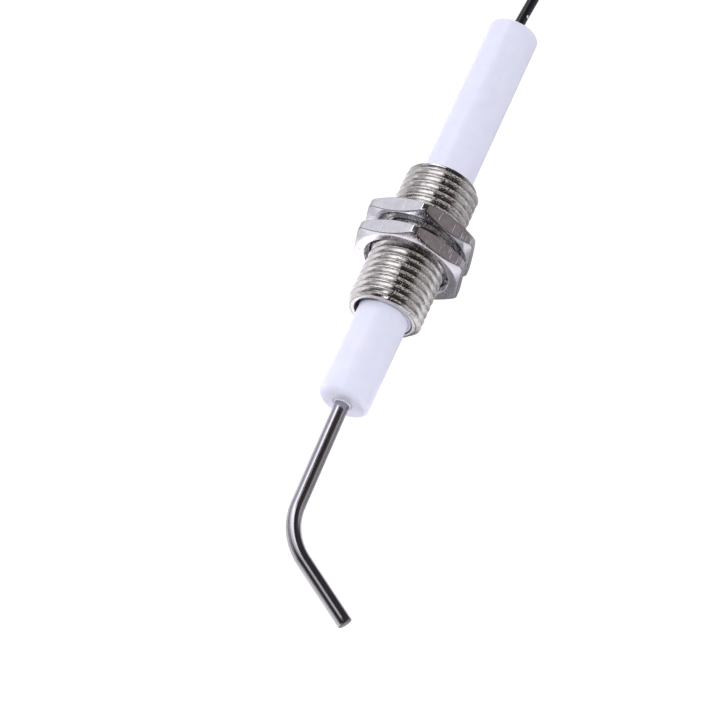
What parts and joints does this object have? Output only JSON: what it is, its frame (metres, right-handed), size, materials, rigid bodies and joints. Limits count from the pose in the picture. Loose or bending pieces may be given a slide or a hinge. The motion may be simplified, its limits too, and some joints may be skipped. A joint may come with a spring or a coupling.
{
  "type": "ignition electrode",
  "caption": "Burner ignition electrode: bent metal rod in a white ceramic tube, nickel-plated threaded sleeve with thin lock nuts, black lead with push-on terminal.",
  "frame": {"origin": "on the sleeve's axis at the sleeve's rear end face, which is also the centre of the overall box", "axes": "+Y along the sleeve's axis from the spark tip towards the lead, +X to the side that the tip bends to, +Z square to the plane of the bend"},
  "size_m": [0.0288, 0.148, 0.0192],
  "materials": {
    "nickel_plate": "polished",
    "rod_steel": "satin",
    "glazed_ceramic": "gloss",
    "cement": "matte",
    "black_silicone": "satin",
    "tinned_copper": "satin",
    "tinned_brass": "satin"
  },
  "bodies": {
    "electrode_assembly": {"electrode_rod": "rod_steel", "ceramic_insulator": "glazed_ceramic", "threaded_sleeve": "nickel_plate", "rod_cement": "cement", "sleeve_cement": "cement", "lead_cement": "cement", "splice_ferrule": "tinned_brass", "lead_conductor": "tinned_copper", "lead_insulation": "black_silicone", "terminal": "tinned_brass", "crimp_sleeve": "black_silicone"},
    "front_nut": {"front_lock_nut": "nickel_plate"},
    "rear_nut": {"rear_lock_nut": "nickel_plate"}
  },
  "joints": [
    {"name": "front_nut_travel", "type": "slide", "parent": "electrode_assembly", "child": "front_nut", "axis": [0, 1, 0], "range_m": [-0.0088, 0.00065]},
    {"name": "rear_nut_travel", "type": "slide", "parent": "electrode_assembly", "child": "rear_nut", "axis": [0, 1, 0], "range_m": [-0.00065, 0.0083]}
  ]
}
